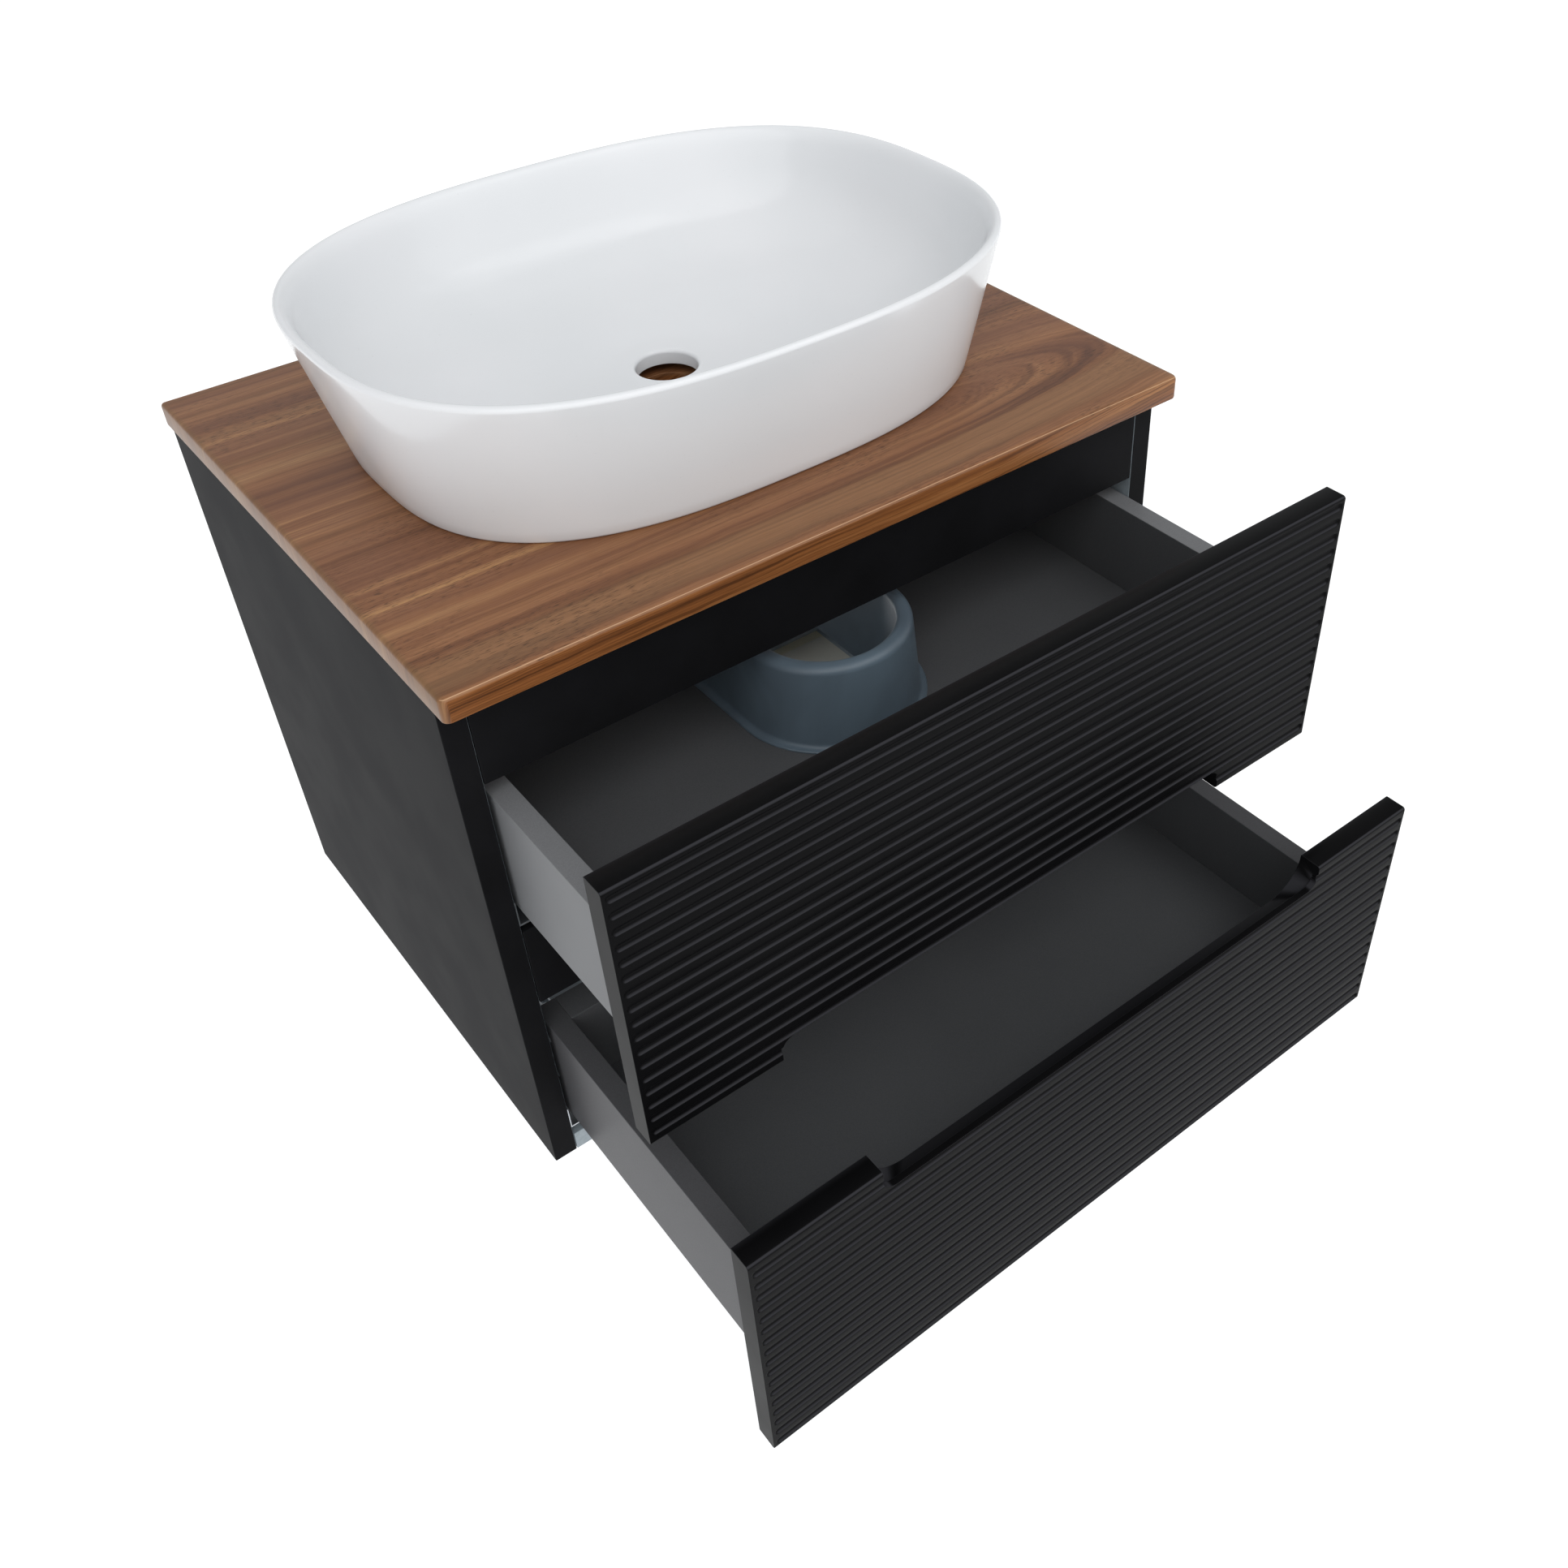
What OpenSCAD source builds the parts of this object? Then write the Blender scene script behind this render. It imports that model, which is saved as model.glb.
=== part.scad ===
// Wall-hung washstand, 60 cm: an oval ceramic vessel basin on a wood-decor worktop,
// over a black carcass with two handleless drawers on full-extension hidden runners.
// Frame: X to the right, the wall is the plane y = 0, the fronts face -Y, +Z is up.
// The origin is the centre of the wall plates' screw pattern, on the wall.

/* [Worktop] */
// Width of the worktop
worktop_w = 600; // [598:1:640]
// Depth of the worktop from the wall
worktop_d = 456; // [452:1:480]
// Thickness of the worktop
worktop_t = 18; // [16:1:28]
// Radius of the worktop's rounded upper edges
worktop_round = 3; // [1:0.5:4]
// Radius of the hole for the waste in the worktop
worktop_hole_r = 22.5; // [21:0.5:24]

/* [Carcass] */
// Width over the side panels
carcass_w = 595; // [590:1:597]
// Depth of the side panels
carcass_d = 434.5; // [430:0.5:446]
// Height of the side panels
carcass_h = 448; // [446:1:460]
// Thickness of the carcass boards
panel_t = 18; // [18:1:19]
// Height of the two front rails
front_rail_h = 72; // [66:1:74]
// Top of the middle front rail below the carcass top
middle_rail_drop = 205; // [204:0.5:208]
// Height of the two rear rails
rear_rail_h = 80; // [76:1:90]
// Space kept free between the rear rails and the wall
wall_gap = 18; // [16:1:24]
// Height of the carcass top above the wall plates' screw pattern
hang_drop = 60; // [58:1:64]

/* [Drawer fronts] */
// Width of a drawer front
front_w = 594; // [590:1:597]
// Height of a drawer front
front_h = 216.5; // [214:0.5:218]
// Thickness of a drawer front
front_t = 17.5; // [16:0.5:19]
// Gap between the worktop and the upper front
top_gap = 8; // [6:0.5:12]
// Gap between the two fronts
middle_gap = 6.5; // [4:0.5:8]
// Number of grooves across a front
groove_count = 17; // [12:1:17]
// Distance between two grooves
groove_pitch = 12.45; // [11:0.05:12.5]
// Radius of the round cutter that makes a groove
groove_r = 4; // [3.6:0.1:4.6]
// Depth of a groove
groove_depth = 1.6; // [1:0.1:2]
// First groove's distance from the plain long edge
groove_start = 6.75; // [6:0.25:8]
// Distance of a groove's end from the front's end
groove_stop = 2.2; // [1:0.1:6]
// Radius of the front's rounded long edges
front_round = 2.5; // [1:0.5:3]
// Length of the finger recess
grip_w = 398; // [300:1:420]
// Depth of the finger recess at the face
grip_face_h = 19.5; // [16:0.5:22]
// Depth of the finger recess at the back
grip_back_h = 30; // [26:0.5:34]
// Thickness of the lip that the fingers pull
grip_lip = 4.8; // [4:0.2:6]

/* [Drawer boxes] */
// Width over the drawer sides
box_w = 551.5; // [549:0.5:552]
// Thickness of the drawer sides and bottoms
box_t = 16; // [15:1:16]
// Height of the drawer sides
box_h = 101; // [96:1:104]
// Length of the drawer sides
box_l = 296; // [294:1:300]
// Thickness of the drawer backs
back_t = 25; // [16:1:26]
// Drop from the front's top to the drawer side's top
side_drop = 78.5; // [77:0.5:82]
// Height of the runner space under the drawer bottom
runner_h = 13.5; // [13:0.5:14]
// Distance that the upper drawer stands open
upper_open = 169; // [2:1:270]
// Distance that the lower drawer stands open
lower_open = 270; // [2:1:270]
// Thickness of the soft buffers behind the fronts
buffer_t = 1.5; // [1:0.25:2]

/* [Trap recess] */
// Inner radius of the trap recess
trap_r = 51.5; // [45:0.5:60]
// Radius of the insert's foot flange
trap_flange_r = 74; // [70:0.5:76]
// Outer radius of the insert's rim
trap_rim_r = 64.5; // [62:0.5:66]
// Height of the insert above the drawer bottom
trap_h = 68; // [60:1:70]
// Distance from the front's back to the recess's centre
trap_reach = 197.5; // [190:0.5:210]

/* [Basin] */
// Half of the basin's length at its rim
rim_a = 252.8; // [240:0.1:260]
// Half of the basin's depth at its rim
rim_b = 192.8; // [180:0.1:195]
// Roundness of the rim's outline: 2 is an ellipse, more is squarer
rim_n = 2.59; // [2.2:0.01:3.5]
// Half of the basin's length at its foot
foot_a = 226.4; // [210:0.1:230]
// Half of the basin's depth at its foot
foot_b = 163.9; // [150:0.1:170]
// Roundness of the foot's outline
foot_n = 2.76; // [2.2:0.01:3.5]
// Height of the basin
basin_h = 111; // [100:1:120]
// Thickness of the basin's wall
basin_wall = 8.4; // [7:0.2:10]
// Height of the bowl's floor above the worktop
floor_z = 18.5; // [18:0.5:20]
// Thickness of the ceramic around the waste hole
floor_t = 11.5; // [11:0.5:12]
// Radius of the waste hole
drain_r = 23; // [22:0.5:24]
// Distance of the basin's centre from the wall
basin_y = 223; // [220:1:225]
// Fullness of the bowl: more makes a flatter floor and steeper walls
bowl_p = 3.4; // [3:0.1:4.5]

/* [Hidden] */

$fn = 48;
eps = 0.5;                 // overshoot of a cutting tool
fit = 0.1;                 // clearance of a fixing in its hole
seam = 0.5;                // joint gap between two carcass boards

// heights
carcass_top = hang_drop;
carcass_bottom = carcass_top - carcass_h;
worktop_z = carcass_top;
worktop_top = worktop_z + worktop_t;
inner_x = carcass_w / 2 - panel_t;
rail_len = 2 * (inner_x - seam);
middle_rail_top = carcass_top - middle_rail_drop;
rear_y = -wall_gap - panel_t;

// drawers: the front's top, the box's lower edge and the front's back plane at rest
upper_top = carcass_top - top_gap;
lower_top = upper_top - front_h - middle_gap;
upper_z0 = upper_top - side_drop - box_h;
lower_z0 = lower_top - side_drop - box_h;
upper_y = -carcass_d - upper_open;
lower_y = -carcass_d - lower_open;
bottom_up = runner_h + box_t;          // drawer bottom's top above the box's lower edge
box_inner_x = box_w / 2 - box_t;

// runners: places are measured inwards from the side panel and up from the box's lower edge
steel = 1.5;               // sheet thickness of the runner members
runner_l = 300;            // length of a cabinet member
runner_front = 2.5;        // its distance behind the carcass front
leg_z = -14;               // underside of the cabinet member's flat leg
flange_top = 8;            // top of the cabinet member's upright flange
web_in = 44;               // the cabinet member's inner web
middle_l = 240;            // length of a middle member
middle_in = 28;            // outer edge of the middle member's plate
middle_w = 14;             // width of that plate
plate_z = -1;              // underside of that plate
slider_l = 290;            // length of a drawer member
slider_in = 22;            // outer edge of the drawer member
slider_w = 26;             // width of the drawer member
roller_r = 5.45;           // radius of a roller
roller_w = 4.6;            // width of a roller
roller_ends = [12, 95];    // rollers' distances from an end of the middle member
runner_screw_y = [30, 150, 270];       // fixing screws' distances from the runner's front
runner_screw_z = -7;

// fixings
cam_r = 7.5;
cam_depth = 12.5;
cam_in = 24;               // cam centre's distance from the board's end
bolt_r = 3;
bolt_bite = 11;            // bolt's depth in the side panel
dowel_r = 4;
dowel_l = 30;
base_cam_y = [-394, -62];  // cams along the bottom panel's ends
hanger_z = 36;             // underside of the hanger's hook strap
hanger_x = inner_x - 10;   // centre of a hanger
strap_t = 4;
strap_w = 14;
plate_w = 60;              // width of a wall plate
plate_t = 2.5;
wall_screw_r = 3.25;       // radius of a wall plate's screw hole
wall_screw_x = hanger_x - 22;          // half of the wall screws' spacing along X
wall_screw_z = 12;         // half of their spacing along Z
bracket_y = [-380, -150];  // worktop brackets along the side panels
bracket_leg = 30;
bracket_wide = 20;
bracket_t = 2;
bracket_hole = 18;         // hole's distance from the bracket's corner
box_screw_z = [40, 80];    // drawer box screws above the box's lower edge
box_screw_r = 2.5;
box_screw_l = 33;          // box screw's reach inwards from the side board's inner face
box_head_r = 4;
box_head_t = 2.8;
runner_screw_r = 2;
runner_screw_head_r = 3.8;
runner_screw_head_t = 1.6;
pan_screw_r = 1.75;
pan_head_r = 3.5;
pan_head_t = 2;
pan_screw_hole_r = 2.1;
bracket_screw_l = 14;
hanger_screw_r = 3;
hanger_screw_head_r = 5;
hanger_screw_head_t = 2.5;
hanger_screw_l = 24;
hanger_screw_z = [hanger_z - 12, hanger_z + 10];
peg_r = 5;                 // pegs that hold a hanger's housing in the side panel
peg_l = 11.5;
pilot = 12;                // depth of the screw and peg holes in the side panel

// colours
black_lacquer = [0.07, 0.07, 0.07];
graphite = [0.30, 0.31, 0.32];
carcass_grey = [0.62, 0.66, 0.69];
walnut = [0.45, 0.28, 0.18];
ceramic_white = [0.93, 0.94, 0.95];
zinc = [0.72, 0.73, 0.75];
blue_grey = [0.27, 0.32, 0.37];
nylon = [0.85, 0.85, 0.83];

// ---- helpers -------------------------------------------------------------

// signed power, which bends a circle's sine or cosine into a superellipse
function spow(v, e) = sign(v) * pow(abs(v), e);
function oval(a, b, n, count) =
  [for (i = [0:count - 1]) let (t = 360 * i / count)
    [a * spow(cos(t), 2 / n), b * spow(sin(t), 2 / n)]];
// points of an arc from one angle to another
function arc(c, r, from, to, steps) =
  [for (i = [0:steps]) let (t = from + (to - from) * i / steps) c + r * [cos(t), sin(t)]];
// a board between two opposite corners
module board(low, high) {
  translate(low) cube(high - low);
}
module both_sides() {
  children();
  mirror([1, 0, 0]) children();
}
module rod_x(x0, x1, r) {
  translate([x0, 0, 0]) rotate([0, 90, 0]) cylinder(h = x1 - x0, r = r);
}

// ---- basin ---------------------------------------------------------------

// share of the height from the foot to the rim
function lift(z) = z / basin_h;
function out_a(z) = foot_a + (rim_a - foot_a) * lift(z);
function out_b(z) = foot_b + (rim_b - foot_b) * lift(z);
function out_n(z) = foot_n + (rim_n - foot_n) * lift(z);

rim_r = basin_wall / 2;
foot_w = 9;                // width of the foot ring
recess_z = floor_z - floor_t;
oval_points = 96;
wall_rings = 6;
rim_rings = 6;
bowl_rings = 15;
bowl_end = 0.12;           // where the bowl's rings stop, as a share of its size

// each ring is [how far inside the outer outline, scale, height]
basin_rings = concat(
  [[foot_w + 2, 1, recess_z], [foot_w, 1, 0], [2, 1, 0], [0.7, 1, 0.8], [0, 1, 2.5]],
  [for (i = [1:wall_rings]) [0, 1, 2.5 + (basin_h - rim_r - 2.5) * i / wall_rings]],
  [for (i = [1:rim_rings]) let (t = 180 * i / rim_rings)
    [rim_r * (1 - cos(t)), 1, basin_h - rim_r + rim_r * sin(t)]],
  [for (i = [1:bowl_rings]) let (t = 88 * i / bowl_rings)
    [basin_wall, max(bowl_end, pow(cos(t), 2 / bowl_p)),
     floor_z + (basin_h - rim_r - floor_z) * (1 - pow(sin(t), 2 / bowl_p))]]
);
function ring_points(r) =
  [for (q = oval(out_a(r[2]) - r[0], out_b(r[2]) - r[0], out_n(r[2]), oval_points))
    [q[0] * r[1], q[1] * r[1], r[2]]];
basin_faces = let (m = oval_points, k = len(basin_rings)) concat(
  [[for (i = [0:m - 1]) i]],
  [[for (i = [m - 1:-1:0]) (k - 1) * m + i]],
  [for (j = [0:k - 2]) for (i = [0:m - 1])
    [j * m + i, (j + 1) * m + i, (j + 1) * m + (i + 1) % m, j * m + (i + 1) % m]]
);

module basin() {
  lip = 3;                 // rounding of the waste hole's upper edge
  color(ceramic_white)
  translate([0, -basin_y, worktop_top])
  difference() {
    polyhedron(points = [for (r = basin_rings) each ring_points(r)], faces = basin_faces,
               convexity = 6);
    translate([0, 0, recess_z - eps]) cylinder(h = floor_t + 2 * eps + 1, r = drain_r);
    translate([0, 0, floor_z])
      rotate_extrude()
        polygon(concat([[drain_r - eps, -lip], [drain_r, -lip]],
                       arc([drain_r + lip, -lip], lip, 180, 90, 6),
                       [[drain_r + lip, 1.5], [drain_r - eps, 1.5]]));
  }
}

module basin_sealant() {
  bead_w = 4;
  bead_h = 3;
  inset = foot_w + 3;
  color("gainsboro")
  translate([0, -basin_y, worktop_top])
  linear_extrude(bead_h)
  difference() {
    polygon(oval(foot_a - inset, foot_b - inset, foot_n, 72));
    polygon(oval(foot_a - inset - bead_w, foot_b - inset - bead_w, foot_n, 72));
  }
}

// ---- worktop and carcass -------------------------------------------------

// outline of the worktop, drawn in by a distance on its three free edges
module worktop_outline(inset) {
  half = worktop_w / 2 - inset;
  corner = 5;
  hull() {
    for (s = [-1, 1])
      translate([s * (half - corner), -worktop_d + inset + corner]) circle(r = corner, $fn = 32);
    translate([-half, -1]) square([2 * half, 1]);
  }
}
module worktop() {
  steps = 4;
  color(walnut)
  difference() {
    translate([0, 0, worktop_z])
      hull() {
        translate([0, 0, 1]) linear_extrude(worktop_t - worktop_round - 1) worktop_outline(0);
        linear_extrude(1) worktop_outline(0.8);
        for (i = [1:steps])
          let (t = 90 * i / steps)
          linear_extrude(worktop_t - worktop_round + worktop_round * sin(t))
            worktop_outline(worktop_round * (1 - cos(t)));
      }
    translate([0, -basin_y, worktop_z - eps]) cylinder(h = worktop_t + 2 * eps, r = worktop_hole_r);
  }
}

// cams, their bolts and the dowels that join the boards to the side panels
rail_cam_z = 52;           // cam's distance below a front rail's top
rail_dowel_z = 20;         // dowel's distance below it
front_board_y = -carcass_d + panel_t / 2;
rear_board_y = rear_y + panel_t / 2;
rear_low_top = carcass_bottom + panel_t + seam + rear_rail_h;
rear_cam_drop = 68;
// [y, z] of the bolts in the side panels, by board
front_bolts = [[front_board_y, carcass_top - rail_cam_z],
               [front_board_y, middle_rail_top - rail_cam_z]];
rear_bolts = [[rear_board_y, carcass_top - rear_cam_drop], [rear_board_y, rear_low_top - 28]];
base_bolts = [for (y = base_cam_y) [y, carcass_bottom + panel_t / 2]];
dowel_places = [[front_board_y, carcass_top - rail_dowel_z],
                [front_board_y, middle_rail_top - rail_dowel_z],
                [rear_board_y, carcass_top - 46],
                [rear_board_y, rear_low_top - 56]];
all_bolts = concat(front_bolts, rear_bolts, base_bolts);

module at_yz(places) {
  for (p = places) translate([0, p[0], p[1]]) children();
}
// a cam's pocket or body: mouth on the board's back (+1), front (-1) or underside (0)
module cam(mouth, r, depth) {
  x = inner_x - seam - cam_in;
  if (mouth == 0)
    translate([x, 0, -panel_t / 2]) cylinder(h = depth, r = r);
  else
    translate([x, mouth * panel_t / 2, 0]) rotate([mouth * 90, 0, 0]) cylinder(h = depth, r = r);
}
module fixing_holes(bolts, mouth, dowels) {
  both_sides() {
    at_yz(bolts) {
      cam(mouth, cam_r + fit, cam_depth + fit);
      rod_x(inner_x - seam - cam_in, inner_x + eps, bolt_r + fit);
    }
    at_yz(dowels) rod_x(inner_x - dowel_l / 2 - 1, inner_x + eps, dowel_r + fit);
  }
}

runner_heights = [upper_z0, lower_z0];
runner_screw_places =
  [for (z0 = runner_heights) for (y = runner_screw_y)
    [-carcass_d + runner_front + y, z0 + runner_screw_z]];
bracket_screw_places = [for (y = bracket_y) [y, carcass_top - bracket_hole]];
hanger_peg_places = [for (y = [-54, -80]) [y, hanger_z - 10]];

module side_panel() {
  difference() {
    board([inner_x, -carcass_d, carcass_bottom], [inner_x + panel_t, 0, carcass_top]);
    at_yz(all_bolts) rod_x(inner_x - eps, inner_x + bolt_bite + fit, bolt_r + fit);
    at_yz(dowel_places) rod_x(inner_x - eps, inner_x + dowel_l / 2 + 0.5, dowel_r + fit);
    at_yz(runner_screw_places) rod_x(inner_x - eps, inner_x + pilot, runner_screw_r + fit);
    at_yz(bracket_screw_places) rod_x(inner_x - eps, inner_x + pilot + fit, pan_screw_r + fit);
    at_yz(hanger_peg_places) rod_x(inner_x - eps, inner_x + pilot, peg_r + fit);
  }
}
module side_panel_left() {
  color(black_lacquer) mirror([1, 0, 0]) side_panel();
}
module side_panel_right() {
  color(black_lacquer) side_panel();
}
module bottom_panel() {
  color(carcass_grey)
  difference() {
    board([-rail_len / 2, -carcass_d, carcass_bottom],
          [rail_len / 2, -wall_gap, carcass_bottom + panel_t]);
    fixing_holes(base_bolts, 0, []);
  }
}
module front_rail(top) {
  board([-rail_len / 2, -carcass_d, top - front_rail_h], [rail_len / 2, -carcass_d + panel_t, top]);
}
module top_front_rail() {
  color(black_lacquer)
  difference() {
    front_rail(carcass_top);
    fixing_holes([front_bolts[0]], 1, [dowel_places[0]]);
  }
}
module middle_front_rail() {
  color(black_lacquer)
  difference() {
    front_rail(middle_rail_top);
    fixing_holes([front_bolts[1]], 1, [dowel_places[1]]);
  }
}
module rear_rail(top) {
  board([-rail_len / 2, rear_y, top - rear_rail_h], [rail_len / 2, -wall_gap, top]);
}
module rear_top_rail() {
  slot_z = hanger_z - 4;
  color(carcass_grey)
  difference() {
    rear_rail(carcass_top);
    fixing_holes([rear_bolts[0]], -1, [dowel_places[2]]);
    both_sides()
      board([hanger_x - strap_w / 2 - 2, rear_y - eps, slot_z],
            [inner_x, -wall_gap + eps, slot_z + strap_t + 8]);
  }
}
module rear_bottom_rail() {
  color(carcass_grey)
  difference() {
    rear_rail(rear_low_top);
    fixing_holes([rear_bolts[1]], -1, [dowel_places[3]]);
  }
}

// ---- hanging hardware ----------------------------------------------------

housing_y = [-98, rear_y - 0.2];
housing_z = [hanger_z - 22, hanger_z + 16];
module hanger_housing() {
  difference() {
    union() {
      board([hanger_x - 9.8, housing_y[0], housing_z[0]], [inner_x, housing_y[1], housing_z[1]]);
      at_yz(hanger_peg_places) rod_x(inner_x - eps, inner_x + peg_l, peg_r);
    }
    board([hanger_x - strap_w / 2 - 0.3, -92, hanger_z - 0.3],
          [hanger_x + strap_w / 2 + 0.3, housing_y[1] + eps, hanger_z + strap_t + 0.3]);
    for (z = hanger_screw_z)
      translate([hanger_x, housing_y[0] - eps, z])
        rotate([-90, 0, 0]) cylinder(h = hanger_screw_l + 4 * eps, r = hanger_screw_r + fit);
  }
}
module hanger_housings() {
  color(nylon) both_sides() hanger_housing();
}
lip_y = 9;                 // how far a wall plate's lip stands off the wall
module hanger_hooks() {
  tip_y = -lip_y + plate_t + 0.6;
  color(zinc)
  both_sides() {
    board([hanger_x - strap_w / 2, -90, hanger_z],
          [hanger_x + strap_w / 2, tip_y + 2.4, hanger_z + strap_t]);
    board([hanger_x - strap_w / 2, tip_y, hanger_z - 9],
          [hanger_x + strap_w / 2, tip_y + 2.4, hanger_z]);
  }
}
module hanger_screws() {
  slot_l = 6;
  slot_w = 1;
  slot_deep = 1.4;
  color(zinc)
  both_sides()
    for (z = hanger_screw_z)
      translate([hanger_x, housing_y[0], z])
        rotate([-90, 0, 0])
          difference() {
            union() {
              cylinder(h = hanger_screw_l, r = hanger_screw_r);
              translate([0, 0, -hanger_screw_head_t])
                cylinder(h = hanger_screw_head_t, r = hanger_screw_head_r);
            }
            for (turn = [0, 90])
              rotate([0, 0, turn])
                translate([-slot_l / 2, -slot_w / 2, -hanger_screw_head_t - eps])
                  cube([slot_l, slot_w, slot_deep + eps]);
          }
}
module wall_plates() {
  low = -22;
  step_z = 20;
  color(zinc)
  both_sides()
    difference() {
      union() {
        board([wall_screw_x - plate_w / 2, -plate_t, low],
              [wall_screw_x + plate_w / 2, 0, step_z]);
        board([wall_screw_x - plate_w / 2, -lip_y, step_z - plate_t],
              [wall_screw_x + plate_w / 2, -plate_t + 0.01, step_z]);
        board([wall_screw_x - plate_w / 2, -lip_y, step_z],
              [wall_screw_x + plate_w / 2, -lip_y + plate_t, hanger_z]);
      }
      for (z = [-wall_screw_z, wall_screw_z])
        translate([wall_screw_x, eps, z])
          rotate([90, 0, 0]) cylinder(h = plate_t + 2 * eps, r = wall_screw_r);
    }
}

// ---- worktop brackets, cams, dowels, label -------------------------------

module worktop_bracket() {
  translate([inner_x, 0, carcass_top])
  difference() {
    union() {
      translate([-bracket_leg, -bracket_wide / 2, -bracket_t]) cube([bracket_leg, bracket_wide, bracket_t]);
      translate([-bracket_t, -bracket_wide / 2, -bracket_leg]) cube([bracket_t, bracket_wide, bracket_leg]);
    }
    translate([-bracket_hole, 0, -bracket_t - eps])
      cylinder(h = bracket_t + 2 * eps, r = pan_screw_hole_r);
    translate([0, 0, -bracket_hole]) rod_x(-bracket_t - eps, eps, pan_screw_hole_r);
  }
}
module worktop_brackets() {
  color(zinc)
  both_sides()
    for (y = bracket_y) translate([0, y, 0]) worktop_bracket();
}
module pan_screw(length) {
  cylinder(h = length, r = pan_screw_r);
  translate([0, 0, -pan_head_t]) cylinder(h = pan_head_t, r = pan_head_r);
}
module bracket_screws() {
  color(zinc)
  both_sides()
    for (y = bracket_y) {
      translate([inner_x - bracket_t, y, carcass_top - bracket_hole])
        rotate([0, 90, 0]) pan_screw(bracket_screw_l);
      translate([inner_x - bracket_hole, y, carcass_top - bracket_t]) pan_screw(bracket_t - 0.02);
    }
}
module cam_locks() {
  color(zinc)
  both_sides() {
    at_yz(front_bolts) cam(1, cam_r, cam_depth);
    at_yz(rear_bolts) cam(-1, cam_r, cam_depth);
    at_yz(base_bolts) cam(0, cam_r, cam_depth);
  }
}
module cam_bolts() {
  color(zinc)
  both_sides()
    at_yz(all_bolts) rod_x(inner_x - seam - cam_in + cam_r + 0.3, inner_x + bolt_bite, bolt_r);
}
module dowels() {
  color("burlywood")
  both_sides()
    at_yz(dowel_places) rod_x(inner_x - dowel_l / 2, inner_x + dowel_l / 2, dowel_r);
}
module paper_label() {
  color("ivory")
  board([140, -150, carcass_bottom + panel_t], [243, -35.5, carcass_bottom + panel_t + 0.3]);
}

// ---- runners -------------------------------------------------------------

// a strip of sheet on the right side: distances inwards, heights over z0, and its ends in Y
module strip(in0, in1, low, high, y0, y1, z0) {
  board([inner_x - in1, y0, z0 + low], [inner_x - in0, y1, z0 + high]);
}
function cabinet_runner_y() = -carcass_d + runner_front;
// a member's front end at rest, from how far its drawer stands open
function slider_y(open) = -carcass_d - open + 4;
function middle_y(open) = -carcass_d + 6.5 - (open - buffer_t) / 2;

module cabinet_runner(z0) {
  y0 = cabinet_runner_y();
  y1 = y0 + runner_l;
  difference() {
    union() {
      strip(0, steel, leg_z, flange_top, y0, y1, z0);
      strip(0, web_in + steel, leg_z, leg_z + steel, y0, y1, z0);
      strip(web_in, web_in + steel, leg_z, 2, y0, y1, z0);
    }
    for (y = runner_screw_y)
      translate([0, y0 + y, z0 + runner_screw_z])
        rod_x(inner_x - steel - eps, inner_x + eps, runner_screw_r + fit);
  }
}
module upper_cabinet_runner_left() {
  color(zinc) mirror([1, 0, 0]) cabinet_runner(upper_z0);
}
module upper_cabinet_runner_right() {
  color(zinc) cabinet_runner(upper_z0);
}
module lower_cabinet_runner_left() {
  color(zinc) mirror([1, 0, 0]) cabinet_runner(lower_z0);
}
module lower_cabinet_runner_right() {
  color(zinc) cabinet_runner(lower_z0);
}
module runner_screws() {
  color(zinc)
  both_sides()
    at_yz(runner_screw_places) {
      rod_x(inner_x - steel, inner_x + pilot - 1, runner_screw_r);
      rod_x(inner_x - steel - runner_screw_head_t, inner_x - steel, runner_screw_head_r);
    }
}
module middle_runner(z0, open) {
  y0 = middle_y(open);
  y1 = y0 + middle_l;
  mid = middle_in + middle_w / 2;
  strip(middle_in, middle_in + middle_w, plate_z, plate_z + steel, y0, y1, z0);
  strip(mid - steel / 2, mid + steel / 2, -11, 10.5, y0, y1, z0);
}
module upper_middle_runner_left() {
  color(zinc) mirror([1, 0, 0]) middle_runner(upper_z0, upper_open);
}
module upper_middle_runner_right() {
  color(zinc) middle_runner(upper_z0, upper_open);
}
module lower_middle_runner_left() {
  color(zinc) mirror([1, 0, 0]) middle_runner(lower_z0, lower_open);
}
module lower_middle_runner_right() {
  color(zinc) middle_runner(lower_z0, lower_open);
}
// rollers over the middle member's front half and under its rear half, two on each axle
module runner_rollers(z0, open) {
  y0 = middle_y(open);
  over = plate_z + steel + roller_r + 0.05;
  under = plate_z - roller_r - 0.05;
  both_sides()
    for (e = roller_ends)
      for (place = [[y0 + e, over], [y0 + middle_l - e, under]])
        for (side = [middle_in + 0.4, middle_in + middle_w - roller_w - 0.4])
          translate([0, place[0], z0 + place[1]])
            rod_x(inner_x - side - roller_w, inner_x - side, roller_r);
}
module upper_runner_rollers() {
  color(nylon) runner_rollers(upper_z0, upper_open);
}
module lower_runner_rollers() {
  color(nylon) runner_rollers(lower_z0, lower_open);
}
module drawer_runner(z0, open) {
  y0 = slider_y(open);
  y1 = y0 + slider_l;
  strip(slider_in, slider_in + slider_w, runner_h - steel, runner_h, y0, y1, z0);
  strip(slider_in, slider_in + steel, -8, runner_h - steel, y0, y1, z0);
  strip(slider_in + slider_w - steel, slider_in + slider_w, -8, runner_h - steel, y0, y1, z0);
}
module upper_drawer_runner_left() {
  color(zinc) mirror([1, 0, 0]) drawer_runner(upper_z0, upper_open);
}
module upper_drawer_runner_right() {
  color(zinc) drawer_runner(upper_z0, upper_open);
}
module lower_drawer_runner_left() {
  color(zinc) mirror([1, 0, 0]) drawer_runner(lower_z0, lower_open);
}
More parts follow.
